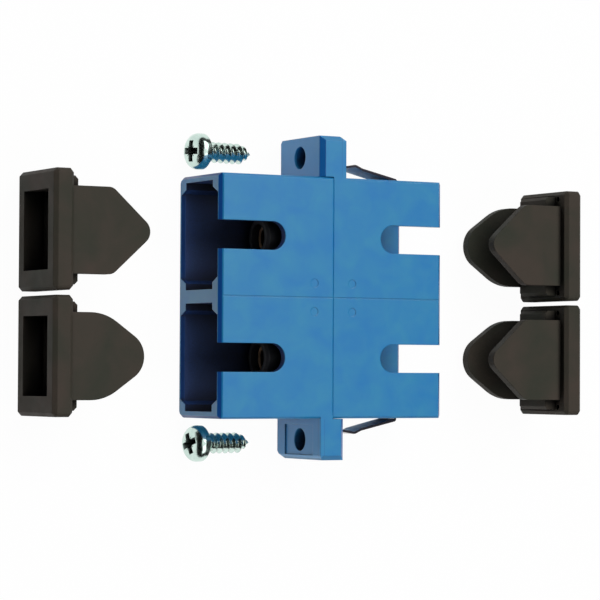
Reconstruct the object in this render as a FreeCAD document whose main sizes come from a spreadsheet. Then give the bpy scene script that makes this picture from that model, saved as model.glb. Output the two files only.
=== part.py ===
"""Duplex adapter for square push-pull fibre plugs, with its dust caps, panel clips and fixing screws.

Frame: X runs along the ports, Y from one port to the other, Z up through the thin depth.
The origin is on the floor under the middle of the seam, where the two housing halves meet.
The adapter lies on its far broad face. The face with the key slots looks up.
All sizes are in millimetres.
"""
import FreeCAD, Part
import os
import re

import Sketcher

# Every driving size, with its meaning. The formulas below use these names.
SIZES = {
    # Housing: two equal halves, each with one fixing ear, welded face to face at the seam.
    "body_length": (27.1, "housing from mouth to mouth"),
    "side_wall": (0.7, "wall outside the reliefs of a port"),
    "middle_wall": (1.4, "wall between the reliefs of the two ports"),
    "broad_wall": (0.85, "broad wall beside a mouth"),
    "mouth_chamfer": (0.45, "bevel between the mouth face and the slotted face"),
    "mouth_bevel": (0.3, "bevel round the rest of the mouth face"),
    "far_radius": (0.8, "round on the long edges of the far broad face"),
    "long_bevel": (0.2, "bevel on the long edges of the slotted face"),
    "seam_bevel": (0.08, "fine bevel along the seam on the slotted face"),
    "mouth_height": (9.1, "plug opening across the port"),
    "mouth_depth": (7.6, "plug opening through the depth"),
    "mouth_lead": (0.35, "lead-in bevel on the broad walls of each mouth"),
    "relief_reach": (1.1, "side relief beyond the mouth, where a latch arm flexes"),
    "relief_step": (0.8, "step from the side of the mouth to the side of a relief"),
    "post_slant": (0.4, "how far the slanted corner posts reach into the reliefs"),
    "slot_width": (3.0, "key slot, with a full round end"),
    "slot_end": (5.8, "closed end of the key slot from the seam"),
    "pocket_step": (0.35, "step from the mouth to the pocket at the seam that traps a latch cage"),
    # Fixing ears.
    "ear_thickness": (3.0, "ear along the ports, centred on the seam"),
    "ear_reach": (4.4, "end of an ear from the side wall"),
    "ear_gap": (0.05, "gap under the part of an ear that reaches over the other half"),
    "ear_root": (0.5, "how deep an ear is rooted in its own half"),
    "ear_bevel": (0.5, "bevels along the ear"),
    "ear_corner": (0.8, "bevel at the far corner of the ear"),
    "hole_from_side": (2.3, "axis of a fixing hole from the side wall"),
    "hole_diameter": (2.4, "fixing hole"),
    "recess_width": (6.0, "shallow recess round the fixing hole, across the depth"),
    "recess_height": (3.2, "shallow recess round the fixing hole, along the ear"),
    "recess_sink": (0.15, "depth of that recess"),
    # Fine lines and round marks that the mould leaves on the slotted face.
    "line_width": (0.12, "witness line between the ports"),
    "mark_sink": (0.05, "depth of the witness line and of the round marks"),
    "mark_diameter": (0.9, "round mould mark"),
    "mark_from_seam": (2.3, "centre of a mould mark from the seam"),
    "mark_from_line": (1.5, "centre of a mould mark from the witness line"),
    # Latch cages: base plate, barrel for the sleeve and two hooked arms, one piece.
    "cage_fit": (0.1, "clearance of the base plate in its pocket"),
    "seam_fit": (0.03, "gap from a base plate to the seam"),
    "plate_thickness": (1.6, "base plate"),
    "barrel_wall": (0.5, "wall of the barrel round the sleeve"),
    "nose_wall": (0.8, "nose of the barrel, which keeps the sleeve in"),
    "barrel_bevel": (0.3, "bevel round the nose of the barrel"),
    "ferrule_fit": (0.2, "clearance round the ferrule in the nose"),
    "arm_thickness": (0.85, "latch arm"),
    "arm_width": (3.6, "latch arm across the depth"),
    "arm_stand": (0.5, "how far the inner face of an arm stands into the mouth"),
    "arm_reach": (9.4, "tip of the arms from the seam"),
    "arm_root": (1.0, "slanted root of an arm on the base plate"),
    "hook_height": (0.7, "how far a hook stands into the port"),
    "hook_flat": (0.4, "flat top of a hook"),
    # Alignment sleeves.
    "sleeve_length": (11.4, "split sleeve"),
    "sleeve_bore": (2.5, "ferrule bore"),
    "sleeve_wall": (0.35, "wall of the split sleeve"),
    "sleeve_slit": (0.35, "slit along the sleeve"),
    "sleeve_fit": (0.1, "clearance all round the sleeve in the barrel"),
    "sleeve_bevel": (0.15, "bevel at the ends of the sleeve"),
    # Panel clips: sprung strips of sheet, each with a foot in a slot of the side wall.
    "sheet": (0.25, "thickness of the clip"),
    "clip_width": (3.2, "clip across the depth"),
    "clip_rise": (0.12, "gap between the side wall and the root of the clip"),
    "foot_from_seam": (9.45, "inner face of the clip foot from the seam"),
    "foot_drop": (0.55, "how deep the foot stands in the side wall"),
    "foot_fit": (0.15, "clearance beside the foot in its slot"),
    "foot_room": (0.225, "clearance behind the foot, for the bend above it"),
    "knee_from_seam": (5.3, "first bend of the strip"),
    "knee_height": (1.25, "first bend above the side wall"),
    "crest_from_seam": (4.5, "highest bend of the strip"),
    "crest_height": (1.62, "highest bend above the side wall"),
    "lip_from_seam": (2.9, "free end of the strip"),
    "lip_height": (1.35, "free end above the side wall"),
    "bend_radius": (0.3, "outside of the bend at the foot"),
    "crest_radius": (0.8, "outside of the bend at the crest"),
    # Dust caps: a rim with a window, two side blocks and two tongues.
    "rim_thickness": (2.2, "cap rim along the port"),
    "rim_gap": (0.5, "gap between the rims of two caps side by side"),
    "rim_bevel": (0.4, "bevel round both faces of the rim"),
    "rim_corner": (0.5, "corners of the rim"),
    "window_ledge": (0.5, "step from the window to the space between the tongues"),
    "plug_fit": (0.12, "clearance of the tongues in the mouth, across the port"),
    "plug_gap": (0.25, "clearance of the tongues in the mouth, through the depth"),
    "tongue_thickness": (1.05, "one tongue"),
    "pointed_straight": (4.7, "straight flanks of the pointed tongue"),
    "pointed_meet": (9.56, "where the slanted flanks of the pointed tongue would meet, beyond the rim"),
    "pointed_radius": (1.36, "round on the end of the pointed tongue"),
    "pointed_shoulder": (1.2, "round between its straight and slanted flanks"),
    "rounded_straight": (3.9, "straight flanks of the rounded tongue"),
    "rounded_meet": (10.13, "where the slanted flanks of the rounded tongue would meet, beyond the rim"),
    "rounded_radius": (2.52, "round on the end of the rounded tongue"),
    "rounded_shoulder": (5.0, "round between its straight and slanted flanks"),
    "block_fit": (0.15, "clearance of the side blocks in the reliefs, across the port"),
    "block_step": (0.5, "clearance of the side blocks in the reliefs, through the depth"),
    "block_reach": (1.3, "side blocks beyond the rim"),
    "block_slant": (0.35, "slanted front of the side blocks"),
    "cheek": (1.45, "thickness of a side block beside the window"),
    "pin_mark": (0.55, "small round sinks beside the blocks"),
    "pin_mark_sink": (0.4, "depth of those sinks"),
    "cap_standoff": (16.35, "gap from the mouth to the rim of a cap that is taken off"),
    # Fixing screws, pan head, lying on the floor beside the ears.
    "head_diameter": (3.85, "screw head"),
    "head_height": (1.5, "screw head"),
    "head_bevel": (0.65, "bevel round the screw head"),
    "shank_diameter": (2.2, "screw over its thread"),
    "screw_length": (7.95, "screw with its head"),
    "point_length": (1.6, "screw point"),
    "drive_span": (2.2, "cross recess in the head"),
    "drive_width": (0.5, "one wing of the cross recess"),
    "drive_sink": (0.8, "depth of the cross recess"),
    "screw_from_seam": (13.33, "front of a screw head from the seam"),
    "screw_gap": (0.77, "gap between a screw head and the side wall"),
    # Sizes that follow from the ones above: what fits a port takes its size from the port.
    "relief_height": ("=mouth_height + 2 * relief_reach", "over the two side reliefs of a port"),
    "relief_depth": ("=mouth_depth - 2 * relief_step", "side relief through the depth"),
    "port_pitch": ("=relief_height + middle_wall", "centre to centre of the two ports"),
    "body_width": ("=port_pitch + relief_height + 2 * side_wall", "housing across both ports"),
    "body_depth": ("=mouth_depth + 2 * broad_wall", "housing from broad face to broad face"),
    "pocket_depth": ("=mouth_depth + 2 * pocket_step", "pocket for the base plate of a latch cage"),
    "arm_inside": ("=mouth_height - 2 * arm_stand", "between the two arms of a latch cage"),
    "sleeve_outside": ("=sleeve_bore + 2 * sleeve_wall", "outer diameter of the split sleeve"),
    "barrel_diameter": ("=sleeve_outside + 2 * sleeve_fit + 2 * barrel_wall", "outside of the barrel"),
    "barrel_reach": ("=sleeve_length / 2 + sleeve_fit + nose_wall", "end of the barrel from the seam"),
    "rim_height": ("=port_pitch - rim_gap", "cap rim across the port"),
    "plug_depth": ("=mouth_depth - 2 * plug_gap", "over both tongues of a cap"),
    "block_height": ("=relief_height - 2 * block_fit", "over both side blocks of a cap"),
    "window_height": ("=block_height - 2 * cheek", "window in the rim, across the port"),
    "hollow_depth": ("=plug_depth - 2 * tongue_thickness", "space between the tongues"),
}

HALF = "body_length / 2"
MIDDLE = "body_depth / 2"
SIDE = "body_width / 2"
AXIS = "port_pitch / 2"
NEAR = 1e-4

doc = FreeCAD.newDocument("duplex_adapter")
sheet = doc.addObject("Spreadsheet::Sheet", "Sizes")


def fill_sheet():
    """Writes each size or its formula into a row of the sheet and gives the cell the size's name."""
    for row, (name, (size, meaning)) in enumerate(SIZES.items(), start=1):
        sheet.set(f"A{row}", meaning)
        sheet.set(f"B{row}", str(size))
        sheet.setAlias(f"B{row}", name)
    doc.recompute()


def bound(formula):
    """The formula as the sheet's own expression, with each size's name pointing at its cell."""
    return re.sub(r"[a-z_]+", lambda word: f"Sizes.{word[0]}" if word[0] in SIZES else word[0], formula)


def amount(formula):
    """The formula's present value in millimetres."""
    return float(sheet.evalExpression(bound(formula)))


def minus(formula):
    return f"-({formula})"


# ---------------------------------------------------------------- sketches and features

def sketch_on(body, name, plane, lift="0"):
    """An empty sketch on one of the body's own origin planes, lifted along the plane's normal."""
    support = next(item for item in body.Origin.OriginFeatures if item.Role == plane)
    sketch = body.newObject("Sketcher::SketchObject", name)
    sketch.AttachmentSupport = [(support, "")]
    sketch.MapMode = "FlatFace"
    sketch.setExpression("AttachmentOffset.Base.z", bound(lift))
    return sketch


def hold(sketch, kind, *where, formula):
    """Adds a sized constraint and ties it to the sheet."""
    row = sketch.addConstraint(Sketcher.Constraint(kind, *where, amount(formula)))
    sketch.setExpression(f"Constraints[{row}]", bound(formula))


def outline(body, name, plane, corners, lift="0"):
    """A closed straight-sided outline whose corners are pairs of formulas."""
    sketch = sketch_on(body, name, plane, lift)
    points = [FreeCAD.Vector(amount(across), amount(up), 0) for across, up in corners]
    count = len(points)
    for index, start in enumerate(points):
        sketch.addGeometry(Part.LineSegment(start, points[(index + 1) % count]), False)
    for index, (across, up) in enumerate(corners):
        sketch.addConstraint(Sketcher.Constraint("Coincident", index, 2, (index + 1) % count, 1))
        hold(sketch, "DistanceX", -1, 1, index, 1, formula=across)
        hold(sketch, "DistanceY", -1, 1, index, 1, formula=up)
    return sketch


def rectangle(body, name, plane, low, high, lift="0"):
    """A rectangular outline from its low corner to its high corner."""
    corners = [(low[0], low[1]), (high[0], low[1]), (high[0], high[1]), (low[0], high[1])]
    return outline(body, name, plane, corners, lift)


def centred(body, name, plane, width, height, lift="0"):
    """A rectangular outline round the sketch's origin."""
    wide, tall = f"({width}) / 2", f"({height}) / 2"
    return rectangle(body, name, plane, (minus(wide), minus(tall)), (wide, tall), lift)


def circle(body, name, plane, centre, diameter, lift="0"):
    """A circle at a centre given as a pair of formulas."""
    sketch = sketch_on(body, name, plane, lift)
    point = FreeCAD.Vector(amount(centre[0]), amount(centre[1]), 0)
    up = FreeCAD.Vector(0, 0, 1)
    sketch.addGeometry(Part.Circle(point, up, amount(diameter) / 2), False)
    hold(sketch, "DistanceX", -1, 1, 0, 3, formula=centre[0])
    hold(sketch, "DistanceY", -1, 1, 0, 3, formula=centre[1])
    hold(sketch, "Diameter", 0, formula=diameter)
    return sketch


def round_slot(body, name, plane, start, end, middle, width, lift="0"):
    """A slot along the sketch's first axis: square at its end, a full half circle at its start."""
    sketch = sketch_on(body, name, plane, lift)
    radius = f"({width}) / 2"
    turn = f"({start}) + {radius}"
    low, high = f"({middle}) - {radius}", f"({middle}) + {radius}"
    corners = [(turn, low), (end, low), (end, high), (turn, high)]
    points = [FreeCAD.Vector(amount(across), amount(up), 0) for across, up in corners]
    crown = FreeCAD.Vector(amount(start), amount(middle), 0)
    for first, last in zip(points, points[1:]):
        sketch.addGeometry(Part.LineSegment(first, last), False)
    sketch.addGeometry(Part.Arc(points[3], crown, points[0]), False)
    for index, (across, up) in enumerate(corners[:3]):
        hold(sketch, "DistanceX", -1, 1, index, 1, formula=across)
        hold(sketch, "DistanceY", -1, 1, index, 1, formula=up)
    hold(sketch, "DistanceX", -1, 1, 2, 2, formula=turn)
    hold(sketch, "DistanceY", -1, 1, 2, 2, formula=high)
    sketch.addConstraint(Sketcher.Constraint("Coincident", 0, 2, 1, 1))
    sketch.addConstraint(Sketcher.Constraint("Coincident", 1, 2, 2, 1))
    sketch.addConstraint(Sketcher.Constraint("Coincident", 2, 2, 3, 1))
    sketch.addConstraint(Sketcher.Constraint("Coincident", 3, 2, 0, 1))
    hold(sketch, "DistanceX", -1, 1, 3, 3, formula=turn)
    return sketch


def pad(body, sketch, length, both_ways=False):
    """Raises the sketch along its normal, or equally to both sides of it."""
    feature = body.newObject("PartDesign::Pad", f"{sketch.Name}Pad")
    feature.Profile = sketch
    feature.SideType = "Symmetric" if both_ways else "One side"
    feature.setExpression("Length", bound(length))
    return finish(body, feature, sketch)


def pocket(body, sketch, length, both_ways=False, forward=False):
    """Cuts the sketch against its normal, along it, or to both sides, and checks that it cut."""
    doc.recompute()
    before = body.Shape.Volume
    feature = body.newObject("PartDesign::Pocket", f"{sketch.Name}Pocket")
    feature.Profile = sketch
    feature.SideType = "Symmetric" if both_ways else "One side"
    feature.Reversed = forward
    feature.setExpression("Length", bound(length))
    finish(body, feature, sketch)
    if body.Shape.Volume > before - NEAR:
        raise RuntimeError(f"{feature.Name} cuts nothing")
    return feature


def finish(body, feature, sketch=None):
    """Makes the feature the body's tip and hides its sketch."""
    body.Tip = feature
    if sketch is not None:
        sketch.Visibility = False
    doc.recompute()
    return feature


def dress(body, kind, name, size, chosen):
    """A fillet or chamfer on the edges of the tip for which chosen(low, high) holds."""
    base = body.Tip
    names = []
    for index, edge in enumerate(base.Shape.Edges, start=1):
        box = edge.BoundBox
        low = (box.XMin, box.YMin, box.ZMin)
        high = (box.XMax, box.YMax, box.ZMax)
        if chosen(low, high):
            names.append(f"Edge{index}")
    if not names:
        raise RuntimeError(f"{name} finds no edge")
    feature = body.newObject(f"PartDesign::{kind}", name)
    feature.Base = (base, names)
    feature.setExpression("Radius" if kind == "Fillet" else "Size", bound(size))
    return finish(body, feature)


def same(one, other):
    return abs(one - other) < NEAR


def place(body, side="0", across="0", up="0", axis=(0, 0, 1), turn="0"):
    """Ties the body's place and turn to the sheet."""
    body.Placement = FreeCAD.Placement(FreeCAD.Vector(), FreeCAD.Rotation(FreeCAD.Vector(*axis), 1))
    body.setExpression("Placement.Base.x", bound(side))
    body.setExpression("Placement.Base.y", bound(across))
    body.setExpression("Placement.Base.z", bound(up))
    body.setExpression("Placement.Rotation.Angle", bound(turn))


def new_body(label):
    body = doc.addObject("PartDesign::Body", f"{label}_body")
    body.Label = label
    return body


# ---------------------------------------------------------------- housing

def port_outline(body, name, axis):
    """The mouth: a square opening, slanted corner posts and a relief on each side."""
    tall, deep = "mouth_height / 2", "mouth_depth / 2"
    wing_tall, wing_deep = "relief_height / 2", "relief_depth / 2"
    quarter = [
        (tall, deep),
        (f"{tall} + post_slant", wing_deep),
        (wing_tall, wing_deep),
    ]
    corners = []
    for flip_y, flip_z, order in (("", "", 1), ("", "-", -1), ("-", "-", 1), ("-", "", -1)):
        for across, up in quarter[::order]:
            corners.append((f"({axis}) + {flip_y}({across})", f"{MIDDLE} + {flip_z}({up})"))
    return outline(body, name, "YZ_Plane", corners)


def housing_half(label, turn):
    """One moulded half with two ports and one ear, built on the +X side with its ear at +Y."""
    body = new_body(label)
    shell = rectangle(body, "Shell", "YZ_Plane", (minus(SIDE), "0"), (SIDE, "body_depth"))
    pad(body, shell, HALF)
    half, side, depth = amount(HALF), amount(SIDE), amount("body_depth")
    dress(body, "Fillet", "FarEdges", "far_radius", lambda low, high: same(high[2], 0)
          and same(low[1], high[1]) and same(high[0] - low[0], half))
    dress(body, "Chamfer", "LongEdges", "long_bevel", lambda low, high: same(low[2], depth)
          and same(low[1], high[1]) and same(high[0] - low[0], half))
    dress(body, "Chamfer", "SeamEdge", "seam_bevel", lambda low, high: same(high[0], 0)
          and same(low[2], depth))
    dress(body, "Chamfer", "MouthEdge", "mouth_chamfer", lambda low, high: same(low[0], half)
          and same(low[2], depth))
    dress(body, "Chamfer", "MouthRim", "mouth_bevel", lambda low, high: same(low[0], half)
          and same(high[2], 0))
    cut_ports(body, half)
    cut_key_slots(body)
    add_ear(body, depth)
    cut_clip_slots(body)
    mark_face(body)
    place(body, turn=turn)
    return body


def cut_ports(body, half):
    """The two ports, the bevels that lead into them and the pockets that trap the latch cages."""
    for name, axis in (("Upper", AXIS), ("Lower", minus(AXIS))):
        pocket(body, port_outline(body, f"{name}Port", axis), HALF, forward=True)
    walls = [amount(f"{MIDDLE} - mouth_depth / 2"), amount(f"{MIDDLE} + mouth_depth / 2")]
    dress(body, "Chamfer", "MouthLead", "mouth_lead", lambda low, high: same(low[0], half)
          and same(low[2], high[2]) and any(same(low[2], wall) for wall in walls))
    tall, deep = "relief_height / 2", "pocket_depth / 2"
    for name, axis in (("Upper", AXIS), ("Lower", minus(AXIS))):
        low = (f"({axis}) - {tall}", f"{MIDDLE} - {deep}")
        high = (f"({axis}) + {tall}", f"{MIDDLE} + {deep}")
        trap = rectangle(body, f"{name}Trap", "YZ_Plane", low, high)
        pocket(body, trap, "plate_thickness + seam_fit", forward=True)


def cut_key_slots(body):
    """A key slot over each port, open at the mouth, through the slotted face only."""
    for name, axis in (("Upper", AXIS), ("Lower", minus(AXIS))):
        slot = round_slot(body, f"{name}Slot", "XY_Plane", "slot_end", f"{HALF} + mouth_chamfer",
                          axis, "slot_width", lift="body_depth")
        pocket(body, slot, "(body_depth - mouth_depth) / 2 + mouth_lead")


def add_ear(body, depth):
    """The fixing ear. It is centred on the seam and reaches over the other half's side."""
    thick, end = "ear_thickness / 2", f"{SIDE} + ear_reach"
    corners = [
        ("0", f"{SIDE} - ear_root"),
        (thick, f"{SIDE} - ear_root"),
        (thick, f"{end} - ear_bevel"),
        (f"{thick} - ear_bevel", end),
        (minus(thick), end),
        (minus(thick), f"{SIDE} + ear_gap"),
        ("0", f"{SIDE} + ear_gap"),
    ]
    pad(body, outline(body, "Ear", "XY_Plane", corners), "body_depth")
    tip, back = amount(end), -amount(thick)
    dress(body, "Chamfer", "EarFarCorner", "ear_corner", lambda low, high: same(low[1], tip)
          and same(high[2], 0))
    dress(body, "Chamfer", "EarSlottedCorner", "ear_bevel", lambda low, high: same(low[1], tip)
          and same(low[2], depth))
    dress(body, "Chamfer", "EarBack", "ear_bevel", lambda low, high: same(low[0], back)
          and same(high[0], back) and (same(high[2], 0) or same(low[2], depth)))
    hole_at = (f"{SIDE} + hole_from_side", MIDDLE)
    pocket(body, circle(body, "EarHole", "YZ_Plane", hole_at, "hole_diameter"),
           "ear_thickness * 2", both_ways=True)
    wide, tall = "recess_width / 2", "recess_height / 2"
    low = (f"{hole_at[0]} - {tall}", f"{hole_at[1]} - {wide}")
    high = (f"{hole_at[0]} + {tall}", f"{hole_at[1]} + {wide}")
    recess = rectangle(body, "EarRecess", "YZ_Plane", low, high, lift=f"{thick} - recess_sink")
    pocket(body, recess, "recess_sink * 2", forward=True)


def cut_clip_slots(body):
    """A slot through each outer side wall for the foot of a panel clip."""
    low = ("foot_from_seam - foot_fit", f"{MIDDLE} - clip_width / 2 - foot_fit")
    high = ("foot_from_seam + sheet + foot_room", f"{MIDDLE} + clip_width / 2 + foot_fit")
    inside = f"{AXIS} + relief_height / 4"
    # The XZ plane's normal points along -Y.
    for name, lift in (("Upper", minus(inside)), ("Lower", inside)):
        slot = rectangle(body, f"{name}ClipSlot", "XZ_Plane", low, high, lift=lift)
        pocket(body, slot, f"{SIDE} - {AXIS}", forward=name == "Lower")


def mark_face(body):
    """The witness line between the ports and two round mould marks."""
    line = rectangle(body, "WitnessLine", "XY_Plane", ("0", "-line_width / 2"),
                     (HALF, "line_width / 2"), lift="body_depth")
    pocket(body, line, "mark_sink")
    for name, across in (("UpperMark", "mark_from_line"), ("LowerMark", "-mark_from_line")):
        mark = circle(body, name, "XY_Plane", ("mark_from_seam", across), "mark_diameter", lift="body_depth")
        pocket(body, mark, "mark_sink")


# ---------------------------------------------------------------- inside the housing

def latch_cage(label, turn, across):
    """Base plate, sleeve barrel and two hooked arms, built round the port's axis towards +X."""
    body = new_body(label)
    plate = centred(body, "Plate", "YZ_Plane", "relief_height - 2 * cage_fit", "pocket_depth - 2 * cage_fit",
                    lift="seam_fit")
    pad(body, plate, "plate_thickness - seam_fit")
    pad(body, circle(body, "Barrel", "YZ_Plane", ("0", "0"), "barrel_diameter", lift="seam_fit"),
        "barrel_reach - seam_fit")
    bore = circle(body, "Bore", "YZ_Plane", ("0", "0"), "sleeve_outside + 2 * sleeve_fit")
    pocket(body, bore, "sleeve_length / 2 + sleeve_fit", forward=True)
    ferrule_hole = "sleeve_bore + 2 * ferrule_fit"
    pocket(body, circle(body, "Nose", "YZ_Plane", ("0", "0"), ferrule_hole), "barrel_reach", forward=True)
    nose, round_nose = amount("barrel_reach"), amount("barrel_diameter")
    dress(body, "Chamfer", "NoseBevel", "barrel_bevel", lambda low, high: same(low[0], nose)
          and same(high[1] - low[1], round_nose))
    inner, outer = "arm_inside / 2", "arm_inside / 2 + arm_thickness"
    catch = f"{inner} - hook_height"
    corners = [
        ("plate_thickness / 2", f"{inner} - arm_root"),
        ("plate_thickness", f"{inner} - arm_root"),
        ("plate_thickness + arm_root", inner),
        ("arm_reach - hook_height - hook_flat - arm_thickness / 2", inner),
        ("arm_reach - hook_height - hook_flat - arm_thickness / 2", catch),
        ("arm_reach - hook_height - arm_thickness / 2", catch),
        ("arm_reach", f"{inner} + arm_thickness / 2"),
        ("arm_reach", outer),
        ("plate_thickness / 2", outer),
    ]
    arm = pad(body, outline(body, "Arm", "XY_Plane", corners), "arm_width", both_ways=True)
    mirror = body.newObject("PartDesign::Mirrored", "OtherArm")
    mirror.Originals = [arm]
    plane = next(item for item in body.Origin.OriginFeatures if item.Role == "XZ_Plane")
    mirror.MirrorPlane = (plane, [""])
    finish(body, mirror)
    place(body, across=across, up=MIDDLE, turn=turn)
    return body


def alignment_sleeve(label, across):
    """The split tube that lines up the two ferrules, across the seam."""
    body = new_body(label)
    pad(body, circle(body, "Tube", "YZ_Plane", ("0", "0"), "sleeve_outside"), "sleeve_length", both_ways=True)
    pocket(body, circle(body, "Bore", "YZ_Plane", ("0", "0"), "sleeve_bore"), "sleeve_length", both_ways=True)
    end = amount("sleeve_length") / 2
    dress(body, "Chamfer", "Ends", "sleeve_bevel", lambda low, high: same(low[0], high[0])
          and same(abs(low[0]), end))
    slit = centred(body, "Slit", "XY_Plane", "sleeve_length * 2", "sleeve_slit")
    pocket(body, slit, "sleeve_outside", forward=True)
    place(body, across=across, up=MIDDLE)
    return body


def panel_clip(label, across, turn):
    """A sprung strip: foot in the wall, rising arm, knee, crest and a lip towards the ear."""
    body = new_body(label)
    half_sheet = "sheet / 2"
    over = [
        ("knee_from_seam", f"knee_height + {half_sheet}"),
        ("crest_from_seam", f"crest_height + {half_sheet}"),
        ("lip_from_seam", f"lip_height + {half_sheet}"),
    ]
    under = [
        ("lip_from_seam", f"lip_height - {half_sheet}"),
        ("crest_from_seam", f"crest_height - {half_sheet}"),
        ("knee_from_seam", f"knee_height - {half_sheet}"),
    ]
    corners = [
        ("foot_from_seam", "-foot_drop"),
        ("foot_from_seam + sheet", "-foot_drop"),
        ("foot_from_seam + sheet", "clip_rise + sheet"),
        *over,
        *under,
        ("foot_from_seam", "clip_rise"),
    ]
    pad(body, outline(body, "Strip", "XY_Plane", corners), "clip_width", both_ways=True)
    foot = amount("foot_from_seam + sheet")
    bend = amount("clip_rise + sheet")
    dress(body, "Fillet", "FootBend", "bend_radius", lambda low, high: same(low[0], foot)
          and same(low[1], bend))
    crest = amount("crest_from_seam")
    for name, side, radius in (("CrestOutside", half_sheet, "crest_radius"),
                               ("CrestInside", minus(half_sheet), "crest_radius - sheet")):
        height = amount(f"crest_height + {side}")
        dress(body, "Fillet", name, radius, lambda low, high: same(low[0], crest)
              and same(low[1], height) and same(high[1], height))
    place(body, across=across, up=MIDDLE, axis=(1, 0, 0), turn=turn)
    return body


# ---------------------------------------------------------------- dust caps

def tongue(body, kind, lift):
    """One flat tongue beyond the rim: straight flanks, slanted flanks and a rounded end."""
    size = kind.lower()
    wide = "mouth_height / 2 - plug_fit"
    bend, meet = f"rim_thickness + {size}_straight", f"rim_thickness + {size}_meet"
    corners = [
        ("rim_thickness / 2", minus(wide)),
        (bend, minus(wide)),
        (meet, "0"),
        (bend, wide),
        ("rim_thickness / 2", wide),
    ]
    pad(body, outline(body, f"{kind}Tongue", "XY_Plane", corners, lift=lift), "tongue_thickness")

    def upright(low, high, x, y):
        return (same(low[0], x) and same(high[0], x) and same(abs(low[1]), y)
                and same(low[2], amount(lift)) and high[2] > low[2] + NEAR)

    dress(body, "Fillet", f"{kind}End", f"{size}_radius",
          lambda low, high: upright(low, high, amount(meet), 0))
    dress(body, "Fillet", f"{kind}Shoulders", f"{size}_shoulder",
          lambda low, high: upright(low, high, amount(bend), amount(wide)))


def dust_cap(label, side, across, up, axis, turn):
    """One moulded cap: rim with a window, side blocks, a pointed and a rounded tongue.

    Built round the port's axis with the outer face at X = 0 and the tongues towards +X.
    """
    body = new_body(label)
    pad(body, centred(body, "Rim", "YZ_Plane", "rim_height", "body_depth"), "rim_thickness")
    thick = amount("rim_thickness")
    dress(body, "Fillet", "RimCorners", "rim_corner", lambda low, high: same(high[0] - low[0], thick))
    dress(body, "Chamfer", "RimBevels", "rim_bevel", lambda low, high: same(low[0], high[0])
          and (same(low[0], 0) or same(low[0], thick)))
    block_depth = "relief_depth - 2 * block_step"
    block = centred(body, "Blocks", "YZ_Plane", "block_height", block_depth, lift="rim_thickness / 2")
    pad(body, block, "rim_thickness / 2 + block_reach")
    front, tall = amount("rim_thickness + block_reach"), amount("block_height / 2")
    dress(body, "Chamfer", "BlockFronts", "block_slant", lambda low, high: same(low[0], front)
          and same(abs(low[1]), tall) and same(low[1], high[1]))
    tongue(body, "Pointed", "hollow_depth / 2")
    tongue(body, "Rounded", "-plug_depth / 2")
    window = centred(body, "Window", "YZ_Plane", "window_height", "hollow_depth + 2 * window_ledge")
    pocket(body, window, "rim_thickness", forward=True)
    hollow = centred(body, "Hollow", "YZ_Plane", "window_height", "hollow_depth", lift="rim_thickness")
    pocket(body, hollow, "block_reach", forward=True)
    for name, flip_y, flip_z in (("A", "", ""), ("B", "-", ""), ("C", "", "-"), ("D", "-", "-")):
        centre = (f"{flip_y}(block_height / 2 - pin_mark / 2)", f"{flip_z}(({block_depth}) / 2 + pin_mark)")
        mark = circle(body, f"PinMark{name}", "YZ_Plane", centre, "pin_mark", lift="rim_thickness")
        pocket(body, mark, "pin_mark_sink")
    place(body, side=side, across=across, up=up, axis=axis, turn=turn)
    return body


# ---------------------------------------------------------------- fixing screws

def fixing_screw(label, across):
    """A pan-head screw on the floor: the rim of its head and its shank touch the ground."""
    body = new_body(label)
    radius, shank = "head_diameter / 2", "shank_diameter / 2"
    corners = [
        ("0", "0"),
        ("screw_length", "0"),
        ("screw_length - point_length", shank),
        ("head_height", shank),
        ("head_height", radius),
        ("head_bevel", radius),
        ("0", f"{radius} - head_bevel"),
    ]
    sketch = outline(body, "Profile", "XY_Plane", corners)
    turned = body.newObject("PartDesign::Revolution", "Turned")
    turned.Profile = sketch
    turned.ReferenceAxis = (sketch, ["H_Axis"])
    turned.Angle = 360
    finish(body, turned, sketch)
    wing, span = "drive_width / 2", "drive_span / 2"
    quarter = [(span, wing), (wing, wing), (wing, span)]
    corners = []
    for flip_y, flip_z, order in (("", "", 1), ("-", "", -1), ("-", "-", 1), ("", "-", -1)):
        corners.extend((f"{flip_y}({y})", f"{flip_z}({z})") for y, z in quarter[::order])
    pocket(body, outline(body, "Drive", "YZ_Plane", corners), "drive_sink", forward=True)
    lean = "atan((head_diameter - shank_diameter) / 2 / (screw_length - point_length - head_height))"
    lift = f"head_height * sin({lean}) + head_diameter / 2 * cos({lean})"
    place(body, side="-screw_from_seam", across=across, up=lift, axis=(0, 1, 0), turn=lean)
    return body


# ---------------------------------------------------------------- assembly

def build():
    """Makes every piece of the adapter in its place."""
    far_cap = f"{HALF} + cap_standoff + rim_thickness"
    pieces = [
        housing_half("housing_half_right", "0"),
        housing_half("housing_half_left", "180"),
    ]
    for level, across in (("upper", AXIS), ("lower", minus(AXIS))):
        pieces.append(latch_cage(f"latch_cage_right_{level}", "0", across))
        pieces.append(latch_cage(f"latch_cage_left_{level}", "180", across))
        pieces.append(alignment_sleeve(f"alignment_sleeve_{level}", across))
    pieces.append(panel_clip("panel_clip_upper", SIDE, "0"))
    pieces.append(panel_clip("panel_clip_lower", minus(SIDE), "180"))
    upright, over = (0, 0, 1), (1, 0, 0)
    pieces.append(dust_cap("dust_cap_left_upper", minus(far_cap), AXIS, MIDDLE, upright, "0"))
    pieces.append(dust_cap("dust_cap_left_lower", minus(far_cap), minus(AXIS), MIDDLE, over, "180"))
    pieces.append(dust_cap("dust_cap_right_upper", far_cap, AXIS, MIDDLE, upright, "180"))
    pieces.append(dust_cap("dust_cap_right_lower", far_cap, minus(AXIS), MIDDLE, upright, "180"))
    beside = f"{SIDE} + screw_gap + head_diameter / 2"
    pieces.append(fixing_screw("fixing_screw_upper", beside))
    pieces.append(fixing_screw("fixing_screw_lower", minus(beside)))
    doc.recompute()
    return pieces


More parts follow.
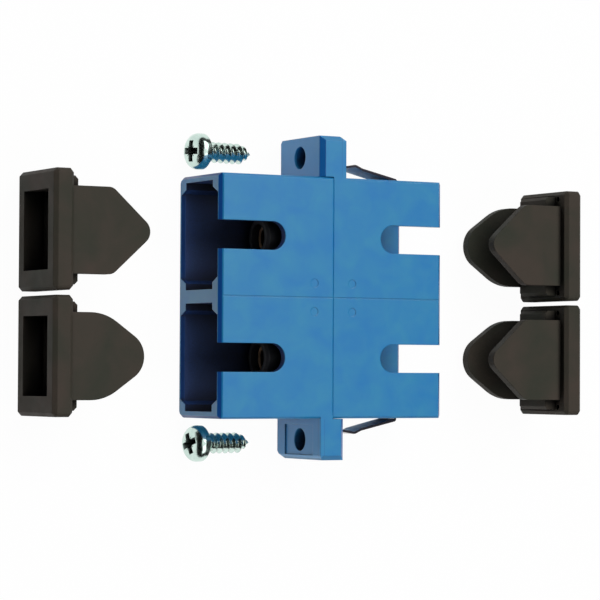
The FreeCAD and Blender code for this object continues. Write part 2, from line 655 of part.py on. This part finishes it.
def check(pieces):
    """Stops if a feature failed or a piece is not one valid solid."""
    for item in doc.Objects:
        if {"Invalid", "Error"} & set(item.State):
            raise RuntimeError(f"{item.Name} failed: {item.State}")
    for piece in pieces:
        shape = piece.Shape
        if shape.isNull() or not shape.isValid() or len(shape.Solids) != 1:
            raise RuntimeError(f"{piece.Label} is not one valid solid")


def export(pieces):
    os.makedirs("parts", exist_ok=True)
    for piece in pieces:
        piece.Shape.exportStep(f"parts/{piece.Label}.step")
        box = piece.Shape.BoundBox
        print(f"{piece.Label}: {piece.Shape.Volume:.2f} mm3, "
              f"X {box.XMin:.2f}..{box.XMax:.2f}, Y {box.YMin:.2f}..{box.YMax:.2f}, "
              f"Z {box.ZMin:.2f}..{box.ZMax:.2f}")


fill_sheet()
made = build()
check(made)
export(made)
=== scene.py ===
"""Looks of a duplex fibre adapter with its dust caps, panel clips and fixing screws.

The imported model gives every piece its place, and only the fixing screws are modelled anew here.
X runs along the ports, Y from one port to the other, Z up from the floor. Lengths are metres, except in
the finishes, where they are millimetres.
"""

import logging
import math
from dataclasses import dataclass, field
from enum import Enum
from functools import reduce

import bpy
from mathutils import Matrix, Vector


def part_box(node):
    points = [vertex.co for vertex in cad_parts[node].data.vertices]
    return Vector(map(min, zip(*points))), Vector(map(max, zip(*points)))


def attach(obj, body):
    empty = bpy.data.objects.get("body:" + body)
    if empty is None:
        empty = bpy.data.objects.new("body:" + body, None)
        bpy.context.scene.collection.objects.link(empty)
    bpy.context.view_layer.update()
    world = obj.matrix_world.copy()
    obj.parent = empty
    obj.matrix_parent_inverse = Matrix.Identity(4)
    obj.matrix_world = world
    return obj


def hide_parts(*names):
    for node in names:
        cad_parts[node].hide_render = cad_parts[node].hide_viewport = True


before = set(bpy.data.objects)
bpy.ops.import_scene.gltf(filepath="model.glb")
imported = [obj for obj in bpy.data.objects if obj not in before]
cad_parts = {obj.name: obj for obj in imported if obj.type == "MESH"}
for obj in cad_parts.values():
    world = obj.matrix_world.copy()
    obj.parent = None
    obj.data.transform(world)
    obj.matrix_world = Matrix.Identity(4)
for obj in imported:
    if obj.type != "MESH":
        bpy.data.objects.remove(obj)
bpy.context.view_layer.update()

MM = 0.001
MERGE = 0.0001 * MM  # how near two points are to count as one
# the coats are the painted shade and light of the housing and the darker edges of the clip
SOFT = 0.02  # how wide the change from one coat to the next is, in millimetres
MIDDLE = (0.3, 0.7)  # most values of a noise lie between these
SCREW_ROLLS = {"upper": 0.05, "lower": -0.35}  # how far each screw's cross is turned, in radians
log = logging.getLogger("adapter")


class Slot(Enum):
    """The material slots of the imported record."""

    HOUSING = "blue_housing"
    CAGE = "dark_cage"
    SLEEVE = "bronze_sleeve"
    CLIP = "spring_steel"
    CAP = "dark_cap"
    SCREW = "zinc_screw"


# ---------------------------------------------------------------- node trees

Socket = bpy.types.NodeSocket
Colour = tuple[float, float, float]


class Shader:
    """A small hand for wiring the node tree of one material or of the world."""

    def __init__(self, tree: bpy.types.NodeTree) -> None:
        """Takes a node tree and empties it."""
        self.tree = tree
        self.tree.nodes.clear()

    def node(self, kind: str, inputs: dict | None = None, **settings: object) -> bpy.types.Node:
        """Adds a node.

        Args:
            kind: the node's type name, without its ShaderNode prefix.
            inputs: values, colours or output sockets for its input sockets.
            **settings: the node's own properties.

        Returns:
            The node.
        """
        made = self.tree.nodes.new(f"ShaderNode{kind}")
        for name, value in settings.items():
            setattr(made, name, value)
        for name, value in (inputs or {}).items():
            if isinstance(value, Socket):
                self.tree.links.new(value, made.inputs[name])
            elif made.inputs[name].type == "RGBA":
                made.inputs[name].default_value = (*value, 1.0)
            else:
                made.inputs[name].default_value = value
        return made

    def place(self) -> Socket:
        """Object coordinates in millimetres."""
        where = self.node("TexCoord").outputs["Object"]
        return self.node("Mapping", {"Vector": where, "Scale": (1 / MM,) * 3}).outputs["Vector"]

    def axes(self) -> tuple[Socket, Socket, Socket]:
        """The three object coordinates in millimetres."""
        parts = self.node("SeparateXYZ", {"Vector": self.place()}).outputs
        return parts["X"], parts["Y"], parts["Z"]

    def noise(self, per_mm: float, detail: float = 2.0, distortion: float = 0.0) -> Socket:
        """Noise between 0 and 1.

        Args:
            per_mm: how many lumps to a millimetre.
            detail: how many finer octaves lie on the lumps.
            distortion: how far the lumps are pulled about.

        Returns:
            The noise value.
        """
        inputs = {"Vector": self.place(), "Scale": per_mm, "Detail": detail, "Distortion": distortion}
        return self.node("TexNoise", inputs).outputs["Fac"]

    def calc(self, operation: str, first: Socket, second: float | Socket = 0.0) -> Socket:
        """One sum on a socket and a second value."""
        return self.node("Math", {0: first, 1: second}, operation=operation).outputs[0]

    def product(self, *factors: Socket) -> Socket:
        """All the factors multiplied."""
        return reduce(lambda made, factor: self.calc("MULTIPLY", made, factor), factors)

    def ramp(self, value: Socket, start: float, end: float | Socket, low: float = 0.0,
             high: float = 1.0) -> Socket:
        """Goes from low at start to high at end, and no further; start may lie above end."""
        inputs = {"Value": value, "From Min": start, "From Max": end, "To Min": low, "To Max": high}
        return self.node("MapRange", inputs).outputs["Result"]

    def within(self, value: Socket, reach: tuple[float, float]) -> Socket:
        """1 where the value lies within the reach, falling to 0 at its two ends."""
        low, high = reach
        return self.product(self.ramp(value, low, low + SOFT), self.ramp(value, high, high - SOFT))

    def band(self, value: Socket, low: float, high: float) -> Socket:
        """A noise value, spread from its middle range over low to high."""
        return self.ramp(value, *MIDDLE, low, high)

    def blend(self, factor: Socket, first: Colour | Socket, second: Colour | Socket) -> Socket:
        """A colour between two colours, each a constant or a socket."""
        return self.node("Mix", {0: factor, 6: first, 7: second}, data_type="RGBA").outputs[2]

    def level(self, factor: Socket, first: float, second: Socket) -> Socket:
        """A value between a constant and a socket."""
        return self.node("Mix", {0: factor, 2: first, 3: second}).outputs[0]

    def unshaded_share(self, reach_mm: float, open_from: float | Socket, depth: float) -> Socket:
        """How open a place is: 1 on open surface, towards 0 in the piece's own hollows, where shade is
        painted.

        Args:
            reach_mm: how near the walls of a hollow are.
            open_from: how much open sky, 0 to 1, a place needs to count as open.
            depth: how fast a hollow closes.

        Returns:
            The share.
        """
        sky = self.node("AmbientOcclusion", {"Distance": reach_mm * MM}, samples=8, only_local=True)
        return self.calc("POWER", self.ramp(sky.outputs["AO"], 0.0, open_from), depth)

    def bump(self, height: Socket, depth_mm: float, strength: float, edge_mm: float) -> Socket:
        """A surface normal that follows the height and turns softly over the edges.

        Args:
            height: a value between 0 and 1.
            depth_mm: the depth that a height of 1 stands for.
            strength: how much of it shows.
            edge_mm: the radius of the worn edges.

        Returns:
            The normal.
        """
        soft = self.node("Bevel", {"Radius": edge_mm * MM}, samples=6).outputs["Normal"]
        inputs = {"Height": height, "Distance": depth_mm * MM, "Strength": strength, "Normal": soft}
        return self.node("Bump", inputs).outputs["Normal"]


# ---------------------------------------------------------------- finishes

@dataclass(frozen=True)
class Finish:
    """One finish of the adapter: the two colours of its mottling, its gloss, its grain and the painted
    shade of its hollows.

    The patches and the grain are in lumps to a millimetre; the grain's depth and the worn edge are in
    millimetres. The gloss has patches of its own, so many times as fine as those of the colour. A hollow
    is its reach in millimetres, the open sky it needs and how fast it closes: there the colour is painted
    shade, going towards near black, and the gloss dulls.
    """

    slot: Slot
    light: Colour
    dark: Colour
    roughness: tuple[float, float]
    patch: float = 0.25
    gloss_fineness: float = 3.0
    grain: float = 9.0
    grain_depth: float = 0.004
    grain_strength: float = 0.25
    edge: float = 0.12
    hollow: tuple[float, float, float] = (1.0, 0.5, 1.0)
    # painted shade: the near-black colour that the hollows are darkened to
    painted_shade_colour: Colour = (0.001, 0.001, 0.002)
    hollow_roughness: float = 0.85

    def material(self) -> bpy.types.Material:
        """Makes the finish as a procedural material.

        Returns:
            The material, named for its slot.
        """
        made = bpy.data.materials.new(self.slot.value)
        made.use_nodes = True
        shader = Shader(made.node_tree)
        patches = shader.noise(self.patch, detail=5.0, distortion=0.4)
        colour = self.painted_light_and_marks(shader, shader.blend(shader.band(patches, 0.0, 1.0), self.dark, self.light))
        # painted shade: in the piece's own hollows the colour goes towards near black and the gloss dulls
        reach, open_from, depth = self.hollow
        share = shader.unshaded_share(reach, self.openness(shader, open_from), depth)
        rough = shader.band(shader.noise(self.patch * self.gloss_fineness), *self.roughness)
        grain = shader.noise(self.grain, detail=4.0)
        surface = shader.node("BsdfPrincipled", {
            "Base Color": shader.blend(share, self.painted_shade_colour, colour),
            "Roughness": shader.level(share, self.hollow_roughness, rough),
            "Normal": shader.bump(grain, self.grain_depth, self.grain_strength, self.edge),
        })
        self.dress(surface)
        shader.node("OutputMaterial", {"Surface": surface.outputs["BSDF"]})
        return made

    def openness(self, shader: Shader, open_from: float) -> float | Socket:
        """How much open sky a place needs to keep its full colour, free of painted shade."""
        return open_from

    def painted_light_and_marks(self, shader: Shader, colour: Socket) -> Socket:
        """Changes the colour in places: painted shade and light, or darker edges."""
        return colour

    def dress(self, surface: bpy.types.Node) -> None:
        """Sets what is the same all over the surface."""


@dataclass(frozen=True)
class MouldedPlastic(Finish):
    """Injection-moulded plastic with a fine eroded grain."""

    specular: float = 0.5

    def dress(self, surface: bpy.types.Node) -> None:
        """Sets the plastic's reflection."""
        surface.inputs["Specular IOR Level"].default_value = self.specular


@dataclass(frozen=True)
class MouldedShell(MouldedPlastic):
    """Moulded plastic of the housing, with painted shade, a deeper blue, in its ports and on its bevels,
    and painted light, a paler blue, on the faces of its ears.

    Places are millimetres from the middle of the seam on the floor. The ear's slope is the sum of the
    distances from the seam and from the floor, which is the same all over the bevel along an ear.
    """

    # painted shade: the deeper blue of the inside of the ports, which also darkens more in its hollows
    inside: Colour = (0.016, 0.100, 0.420)
    inside_open_from: float = 0.95
    inside_half_width: float = 12.1
    inside_top: float = 9.12
    inside_rim: float = 0.1
    # the painted shade of the ports fades out between these places along X, leaving the +X mouths light
    lit_mouth: tuple[float, float] = (8.2, 10.7)
    # painted shade: a darker blue on the bevel round the port mouths, over this reach from the seam
    bevel: Colour = (0.002, 0.060, 0.270)
    bevel_reach: tuple[float, float] = (13.22, 13.53)
    # painted light: a paler blue on the faces of the ears, below their top
    ear: Colour = (0.034, 0.330, 0.700)
    ear_reach: tuple[float, float] = (12.74, 17.08)
    ear_face: float = 1.2
    ear_top: float = 9.28
    # painted shade: a darker blue on the bevel along each ear
    ear_bevel_shade: Colour = (0.004, 0.110, 0.360)
    ear_slope: tuple[float, float] = (10.27, 10.33)

    def openness(self, shader: Shader, open_from: float) -> Socket:
        """Rises from the outside of the shell to the inside of its ports, where the painted shade is
        deepest.
        """
        return shader.ramp(self.in_port(shader), 0.0, 1.0, open_from, self.inside_open_from)

    def in_port(self, shader: Shader) -> Socket:
        """Finds the inside of the ports, where shade is painted.

        Args:
            shader: the material's node tree.

        Returns:
            1 inside, 0 on the outside of the shell and in the +X mouths, where the light falls in.
        """
        x, y, z = shader.axes()
        side, top, rim = self.inside_half_width, self.inside_top, self.inside_rim
        between_walls = shader.ramp(shader.calc("ABSOLUTE", y), side + rim, side)
        below_face = shader.ramp(z, top + rim, top)
        lit_from, lit_to = self.lit_mouth
        return shader.product(between_walls, below_face, shader.ramp(x, lit_to, lit_from))

    def painted_light_and_marks(self, shader: Shader, colour: Socket) -> Socket:
        """Paints shade, a deeper blue, in the ports and on the bevels, and paints light, a paler blue, on
        the faces of the ears.

        Args:
            shader: the material's node tree.
            colour: the mottled blue.

        Returns:
            The colour.
        """
        x, y, z = shader.axes()
        from_seam = shader.calc("ABSOLUTE", x)
        mouth_end = self.bevel_reach[1]
        behind_mouth = shader.ramp(from_seam, mouth_end, mouth_end - SOFT)
        ears = shader.within(shader.calc("ABSOLUTE", y), self.ear_reach)
        below_top = shader.ramp(z, self.ear_top, self.ear_top - SOFT)
        faces = shader.ramp(from_seam, self.ear_face, self.ear_face + SOFT)
        slope = shader.within(shader.calc("ADD", from_seam, z), self.ear_slope)
        # painted shade in the ports and on the two bevels, painted light on the faces of the ears
        painted_light_and_shade = (
            (shader.product(self.in_port(shader), behind_mouth), self.inside),
            (shader.within(from_seam, self.bevel_reach), self.bevel),
            (shader.product(ears, below_top, faces), self.ear),
            (shader.product(ears, slope), self.ear_bevel_shade),
        )
        for where, coat in painted_light_and_shade:
            colour = shader.blend(where, colour, coat)
        return colour


@dataclass(frozen=True)
class BrightMetal(Finish):
    """Plated or rolled metal."""

    def dress(self, surface: bpy.types.Node) -> None:
        """Makes the surface a metal."""
        surface.inputs["Metallic"].default_value = 1.0


@dataclass(frozen=True)
class PlatedScrew(BrightMetal):
    """Plated metal, with black painted shade in the recess of a head that ends between two places
    along X.
    """

    recess_end: tuple[float, float] = (-12.0, -11.9)
    recess_open_from: float = 1.0

    def openness(self, shader: Shader, open_from: float) -> Socket:
        """Falls from the recess, which is all painted shade, to the thread."""
        x = shader.axes()[0]
        return shader.ramp(x, *self.recess_end, self.recess_open_from, open_from)


@dataclass(frozen=True)
class ShearedStrip(BrightMetal):
    """Rolled strip, darker along its two long edges."""

    middle: float = 4.65
    half_width: float = 1.56
    edge_dark: Colour = (0.045, 0.040, 0.050)

    def painted_light_and_marks(self, shader: Shader, colour: Socket) -> Socket:
        """Darkens the two long edges, which lie half the strip's width from its middle."""
        away = shader.calc("ABSOLUTE", shader.calc("SUBTRACT", shader.axes()[2], self.middle))
        return shader.blend(shader.ramp(away, self.half_width - SOFT, self.half_width), colour, self.edge_dark)


# the hollow of each finish sets its painted shade: how far it reaches, how open a place must be, how fast
# it darkens
HOUSING_BLUE = MouldedShell(Slot.HOUSING, light=(0.018, 0.236, 0.465), dark=(0.004, 0.188, 0.482),
                            roughness=(0.32, 0.38), patch=0.4, hollow=(9.0, 0.45, 3.4), specular=0.6)
CAGE_BLACK = MouldedPlastic(Slot.CAGE, light=(0.014, 0.015, 0.019), dark=(0.009, 0.010, 0.013),
                            roughness=(0.38, 0.52), patch=0.4)
CAP_BROWN = MouldedPlastic(Slot.CAP, light=(0.060, 0.047, 0.038), dark=(0.038, 0.040, 0.030), specular=0.08,
                           roughness=(0.50, 0.60), patch=0.2, grain=7.0, grain_strength=0.3,
                           hollow=(9.0, 0.75, 2.2))
SLEEVE_BRONZE = BrightMetal(Slot.SLEEVE, light=(0.46, 0.30, 0.18), dark=(0.34, 0.21, 0.12),
                            roughness=(0.30, 0.42), patch=0.5, edge=0.05, hollow=(4.0, 0.6, 3.0))
CLIP_STEEL = ShearedStrip(Slot.CLIP, light=(0.74, 0.71, 0.71), dark=(0.58, 0.55, 0.56),
                          roughness=(0.42, 0.55), patch=0.8, grain=14.0, grain_strength=0.08, edge=0.05)
SCREW_ZINC = PlatedScrew(Slot.SCREW, light=(0.69, 0.84, 0.77), dark=(0.55, 0.70, 0.64),
                         hollow=(1.6, 0.25, 1.6), roughness=(0.17, 0.24), patch=0.9, grain=12.0,
                         grain_strength=0.05, edge=0.03)
FINISHES = (HOUSING_BLUE, CAGE_BLACK, CAP_BROWN, SLEEVE_BRONZE, CLIP_STEEL, SCREW_ZINC)


# ---------------------------------------------------------------- shaping by hand

def clear_selection() -> None:
    """Leaves object mode with nothing selected."""
    if bpy.context.object is not None and bpy.context.object.mode != "OBJECT":
        bpy.ops.object.mode_set(mode="OBJECT")
    bpy.ops.object.select_all(action="DESELECT")


def pick(obj: bpy.types.Object) -> None:
    """Makes the object the only one selected, and active.

    Args:
        obj: the object to work on.
    """
    clear_selection()
    obj.select_set(True)
    bpy.context.view_layer.objects.active = obj


def tidy_mesh(obj: bpy.types.Object) -> None:
    """Merges doubled points and turns every face outwards.

    Args:
        obj: the object whose mesh is tidied.
    """
    pick(obj)
    bpy.ops.object.mode_set(mode="EDIT")
    bpy.ops.mesh.select_all(action="SELECT")
    bpy.ops.mesh.remove_doubles(threshold=MERGE)
    bpy.ops.mesh.normals_make_consistent(inside=False)
    bpy.ops.object.mode_set(mode="OBJECT")


def combine(obj: bpy.types.Object, other: bpy.types.Object, operation: str) -> None:
    """Cuts the other shape out of the object, or unites the two, and removes the other.

    Args:
        obj: the piece that stays.
        other: the cutter or the added shape.
        operation: DIFFERENCE or UNION.
    """
    boolean = obj.modifiers.new("combine", "BOOLEAN")
    boolean.operation = operation
    boolean.object = other
    boolean.solver = "EXACT"
    pick(obj)
    bpy.ops.object.modifier_apply(modifier=boolean.name)
    bpy.data.objects.remove(other)


def smooth(obj: bpy.types.Object, degrees: float = 32.0) -> None:
    """Shades the faces smoothly except across edges sharper than the angle."""
    pick(obj)
    bpy.ops.object.shade_smooth_by_angle(angle=math.radians(degrees))


def set_finish(obj: bpy.types.Object, material: bpy.types.Material) -> None:
    """Gives the object the one material, on its mesh's slots.

    Args:
        obj: the object.
        material: its finish.
    """
    if not obj.material_slots:
        obj.data.materials.append(material)
    for slot in obj.material_slots:
        slot.material = material


# ---------------------------------------------------------------- fixing screws

@dataclass
class FixingScrew:
    """A pan-head, cross-drive screw for plastic, lying on the floor beside an ear.

    The wings' floor is the share of their width and of their span that is left at the bottom. The flank is
    a share of the pitch, and the runout is how far the thread takes to rise, in turns from the head. The
    powers round the point and hollow the flanks. Along the point the thread keeps the fade times the
    point's taper of its depth, and at most all of it.
    """

    node: str
    material: bpy.types.Material
    roll: float
    head_radius: float = 1.925 * MM
    head_height: float = 1.5 * MM
    dome: float = 0.95 * MM
    face_radius: float = 0.75 * MM
    shank_radius: float = 1.1 * MM
    root_radius: float = 0.80 * MM
    length: float = 7.95 * MM
    point: float = 1.6 * MM
    rooted: float = 0.3 * MM
    pitch: float = 0.8 * MM
    flank: float = 0.30
    runout: float = 0.6
    fade: float = 1.6
    point_power: float = 0.85
    flank_power: float = 1.15
    wing_span: float = 2.6 * MM
    wing_width: float = 0.75 * MM
    wing_depth: float = 1.15 * MM
    wing_floor: tuple[float, float] = (0.72, 0.6)
    core_radius: float = 0.80 * MM
    core_tip: float = 0.2 * MM
    tick_span: float = 2.0 * MM
    tick_width: float = 0.09 * MM
    tick_depth: float = 0.35 * MM
    round_steps: int = 72
    turn_steps: int = 24
    dome_steps: int = 12
    core_steps: int = 24

    def build(self) -> bpy.types.Object:
        """Makes the screw in its place.

        Returns:
            The screw, riding with the adapter in place of its CAD node.
        """
        screw = self.head()
        for cutter in self.cutters():
            combine(screw, cutter, "DIFFERENCE")
        combine(screw, self.shank(), "UNION")
        tidy_mesh(screw)
        smooth(screw)
        self.lay_down(screw)
        screw.name = f"{self.node}_threaded"
        set_finish(screw, self.material)
        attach(screw, "adapter")
        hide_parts(self.node)
        return screw

    def head(self) -> bpy.types.Object:
        """Turns the head from its face disc: the dome, the rim and the flat underside.

        Returns:
            The head, with its face at the origin and its axis along X.
        """
        clear_selection()
        bpy.ops.mesh.primitive_circle_add(vertices=self.round_steps, radius=self.face_radius,
                                          fill_type="NGON", rotation=(0, -math.pi / 2, 0))
        head = bpy.context.object
        bpy.ops.object.transform_apply(location=True, rotation=True, scale=True)
        radius, along = self.face_radius, 0.0
        bpy.ops.object.mode_set(mode="EDIT")
        bpy.ops.mesh.select_all(action="SELECT")
        for step_along, step_radius in self.head_profile():
            bpy.ops.mesh.extrude_region_move(TRANSFORM_OT_translate={"value": (step_along - along, 0, 0)})
            grow = step_radius / radius
            bpy.ops.transform.resize(value=(1, grow, grow), center_override=(step_along, 0, 0))
            along, radius = step_along, step_radius
        bpy.ops.object.mode_set(mode="OBJECT")
        tidy_mesh(head)
        return head

    def head_profile(self) -> list[tuple[float, float]]:
        """Works out the head's outline, from the face over the dome to the underside.

        Returns:
            Steps along the head, each with its radius.
        """
        reach = self.head_radius - self.face_radius
        steps = []
        for index in range(1, self.dome_steps + 1):
            turn = index / self.dome_steps * math.pi / 2
            steps.append((self.dome * (1 - math.cos(turn)), self.face_radius + reach * math.sin(turn)))
        under = 0.08 * MM
        steps.append((self.head_height - under, self.head_radius))
        steps.append((self.head_height, self.head_radius - under))
        return steps

    def cutters(self) -> list[bpy.types.Object]:
        """Makes the wings of the cross recess, its round core and the fine ticks between the wings.

        Returns:
            The cutters.
        """
        clear_selection()
        bpy.ops.mesh.primitive_cone_add(vertices=self.core_steps, radius1=self.core_radius,
                                        radius2=self.core_tip, depth=2 * self.wing_depth,
                                        rotation=(0, math.pi / 2, 0))
        bpy.ops.object.transform_apply(location=True, rotation=True, scale=True)
        made = [bpy.context.object]
        for quarter in range(2):
            turn = self.roll + quarter * math.pi / 2
            made.append(self.blade(self.wing_span, self.wing_width, self.wing_depth, turn))
            turn += math.pi / 4
            made.append(self.blade(self.tick_span, self.tick_width, self.tick_depth, turn))
        return made

    def blade(self, span: float, width: float, depth: float, turn: float) -> bpy.types.Object:
        """One tapered blade across the head's axis.

        Args:
            span: its length at the face.
            width: its width at the face.
            depth: how deep it reaches.
            turn: its angle about the axis.

        Returns:
            The cutter.
        """
        clear_selection()
        above = 0.5 * MM
        bpy.ops.mesh.primitive_cube_add(size=1.0, location=((depth - above) / 2, 0, 0))
        blade = bpy.context.object
        blade.scale = (depth + above, width, span)
        bpy.ops.object.transform_apply(location=True, rotation=False, scale=True)
        floor_width, floor_span = self.wing_floor
        for vertex in blade.data.vertices:
            if vertex.co.x > depth / 2:
                vertex.co.y *= floor_width
                vertex.co.z *= floor_span
        blade.data.transform(Matrix.Rotation(turn, 4, "X"))
        return blade

    def shank(self) -> bpy.types.Object:
        """Rolls a flat grid into the threaded shank, from inside the head to the point.

        Returns:
            The closed shank.
        """
        start = self.head_height - self.rooted
        rings = round((self.length - start) / self.pitch * self.turn_steps)
        clear_selection()
        bpy.ops.mesh.primitive_grid_add(x_subdivisions=rings, y_subdivisions=self.round_steps, size=1.0)
        shank = bpy.context.object
        for vertex in shank.data.vertices:
            along = start + (vertex.co.x + 0.5) * (self.length - start)
            twist = along / self.pitch
            phase = (vertex.co.y + 0.5) % 1.0
            angle = 2 * math.pi * (phase + twist)
            radius = self.thread_radius(along, phase)
            vertex.co = (along, radius * math.cos(angle), radius * math.sin(angle))
        pick(shank)
        bpy.ops.object.mode_set(mode="EDIT")
        bpy.ops.mesh.select_all(action="SELECT")
        bpy.ops.mesh.remove_doubles(threshold=MERGE)
        bpy.ops.mesh.select_all(action="DESELECT")
        bpy.ops.mesh.select_non_manifold()
        bpy.ops.mesh.edge_face_add()
        bpy.ops.object.mode_set(mode="OBJECT")
        tidy_mesh(shank)
        return shank

    def thread_radius(self, along: float, phase: float) -> float:
        """The surface's radius at a place along the shank.

        Args:
            along: distance from the face of the head.
            phase: place across one pitch of the thread, 0 to 1.

        Returns:
            The radius.
        """
        crest = max(0.0, 1.0 - abs(phase - 0.5) / self.flank)
        begun = min(1.0, max(0.0, (along - self.head_height) / (self.runout * self.pitch)))
        taper = min(1.0, max(0.0, self.length - along) / self.point)
        blunt_end = 0.02 * MM
        root = max(self.root_radius * taper ** self.point_power, blunt_end)
        depth = (self.shank_radius - self.root_radius) * begun * min(1.0, self.fade * taper)
        return root + depth * crest ** self.flank_power

    def lay_down(self, screw: bpy.types.Object) -> None:
        """Leans the screw on the rim of its head and on its shank, where its CAD node lies.

        Args:
            screw: the finished screw, still on the X axis.
        """
        low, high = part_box(self.node)
        straight = self.length - self.point - self.head_height
        lean = math.atan((self.head_radius - self.shank_radius) / straight)
        lift = self.head_height * math.sin(lean) + self.head_radius * math.cos(lean)
        start = Vector((high.x - self.length * math.cos(lean), (low.y + high.y) / 2, lift))
        screw.data.transform(Matrix.Translation(start) @ Matrix.Rotation(lean, 4, "Y"))


# ---------------------------------------------------------------- camera, floor and light

@dataclass
class Studio:
    """A pale table under soft light, seen from above the left-hand ports.

    The floor's share is how much of what is seen of it is plain white; the rest takes the shadows. The
    camera's film and lens are in millimetres, and it sees from the first to the second of its limits.
    """

    eye: tuple[float, float, float] = (-0.14032, -0.00801, 0.24889)
    right: tuple[float, float, float] = (0.8692, 0.0050, 0.4945)
    up: tuple[float, float, float] = (-0.0182, 0.9996, 0.0218)
    lens: float = 158.25
    film: float = 36.0
    limits: tuple[float, float] = (0.01, 20.0)
    floor_size: float = 4.0
    floor_colour: Colour = (0.92, 0.92, 0.92)
    floor_share: float = 0.97
    world_level: float = 1.0
    lamps_at: tuple[tuple[float, float, float], ...] = ((0.13, 0.36, 0.49), (0.10, -0.36, 0.49))
    lamp_powers: tuple[float, ...] = (2.6, 1.2)
    lamp_size: float = 0.50
    wall_radius: float = 0.62
    wall_height: float = 1.07
    wall_steps: int = 48
    wall_colour: Colour = (0.01, 0.01, 0.01)
    white: Colour = (1.0, 1.0, 1.0)

    def build(self) -> None:
        """Makes the camera, the floor, the lamps and the world."""
        self.camera()
        self.floor()
        self.walls()
        self.lamps()
        self.world()
        bpy.context.scene.view_settings.view_transform = "Standard"

    def camera(self) -> None:
        """Makes the camera from its place and its two axes."""
        data = bpy.data.cameras.new("camera")
        data.lens = self.lens
        data.sensor_width = self.film
        data.clip_start, data.clip_end = self.limits
        camera = bpy.data.objects.new("camera", data)
        bpy.context.scene.collection.objects.link(camera)
        right = Vector(self.right).normalized()
        back = right.cross(Vector(self.up)).normalized()
        turn = Matrix((right, back.cross(right), back)).transposed()
        camera.matrix_world = Matrix.Translation(self.eye) @ turn.to_4x4()
        bpy.context.scene.camera = camera

    def floor(self) -> None:
        """Makes the table, which looks white and keeps the shadows."""
        clear_selection()
        bpy.ops.mesh.primitive_plane_add(size=self.floor_size)
        floor = bpy.context.object
        floor.name = "floor"
        material = bpy.data.materials.new("floor")
        material.use_nodes = True
        shader = Shader(material.node_tree)
        matt = shader.node("BsdfDiffuse", {"Color": self.floor_colour}).outputs[0]
        glow = shader.node("Emission", {"Color": self.white, "Strength": 1.0}).outputs[0]
        share = shader.calc("MULTIPLY", self.seen(shader), self.floor_share)
        surface = shader.node("MixShader", {"Fac": share, 1: matt, 2: glow}).outputs[0]
        shader.node("OutputMaterial", {"Surface": surface})
        set_finish(floor, material)

    def seen(self, shader: Shader) -> Socket:
        """Tells what is seen from what only gives light.

        Args:
            shader: the node tree of the floor or of the world.

        Returns:
            1 for rays from the camera and for rays off gloss or through glass.
        """
        path = shader.node("LightPath").outputs
        either = shader.calc("MAXIMUM", path["Is Camera Ray"], path["Is Glossy Ray"])
        return shader.calc("MAXIMUM", either, path["Is Transmission Ray"])

    def walls(self) -> None:
        """Makes the dark curtain all round the table, open at the top and not seen itself."""
        clear_selection()
        bpy.ops.mesh.primitive_cylinder_add(vertices=self.wall_steps, radius=self.wall_radius,
                                            depth=self.wall_height, end_fill_type="NOTHING",
                                            location=(0, 0, self.wall_height / 2))
        curtain = bpy.context.object
        bpy.ops.object.transform_apply(location=True, rotation=True, scale=True)
        curtain.name = "curtain"
        curtain.visible_camera = False
        material = bpy.data.materials.new("curtain")
        material.use_nodes = True
        shader = Shader(material.node_tree)
        cloth = shader.node("BsdfDiffuse", {"Color": self.wall_colour})
        shader.node("OutputMaterial", {"Surface": cloth.outputs[0]})
        set_finish(curtain, material)

    def lamps(self) -> None:
        """Makes the two large soft lamps over the table."""
        for number, (power, at) in enumerate(zip(self.lamp_powers, self.lamps_at)):
            data = bpy.data.lights.new(f"lamp_{number}", "AREA")
            data.shape = "SQUARE"
            data.size = self.lamp_size
            data.energy = power
            lamp = bpy.data.objects.new(f"lamp_{number}", data)
            bpy.context.scene.collection.objects.link(lamp)
            place = Vector(at)
            turn = place.to_track_quat("Z", "Y").to_matrix().to_4x4()
            lamp.matrix_world = Matrix.Translation(place) @ turn

    def world(self) -> None:
        """Makes the white room: full white where it is seen, at its own level as light."""
        world = bpy.data.worlds.new("room")
        world.use_nodes = True
        bpy.context.scene.world = world
        shader = Shader(world.node_tree)
        light = shader.node("Background", {"Color": self.white, "Strength": self.world_level}).outputs[0]
        sight = shader.node("Background", {"Color": self.white, "Strength": 1.0}).outputs[0]
        surface = shader.node("MixShader", {"Fac": self.seen(shader), 1: light, 2: sight}).outputs[0]
        shader.node("OutputWorld", {"Surface": surface})


# ---------------------------------------------------------------- the whole adapter

@dataclass
class Adapter:
    """All the pieces of the adapter and their finishes."""

    materials: dict[Slot, bpy.types.Material] = field(default_factory=dict)

    def build(self) -> None:
        """Dresses the CAD nodes and adds the new pieces."""
        for finish in FINISHES:
            self.materials[finish.slot] = finish.material()
        self.dress_nodes()
        for level, roll in SCREW_ROLLS.items():
            screw = FixingScrew(f"fixing_screw_{level}", self.materials[Slot.SCREW], roll)
            made = screw.build()
            log.info("%s has %d faces", made.name, len(made.data.polygons))

    def dress_nodes(self) -> None:
        """Gives each CAD node the finish of its slot."""
        slot_of = {"housing": Slot.HOUSING, "latch": Slot.CAGE, "alignment": Slot.SLEEVE,
                   "panel": Slot.CLIP, "dust": Slot.CAP, "fixing": Slot.SCREW}
        for name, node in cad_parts.items():
            slot = slot_of[name.split("_")[0]]
            set_finish(node, self.materials[slot])
            log.info("%s takes %s", name, slot.value)


def main() -> None:
    """Builds the studio and the adapter."""
    logging.basicConfig(level=logging.INFO, format="%(name)s: %(message)s")
    Studio().build()
    Adapter().build()


if __name__ == "__main__":
    main()
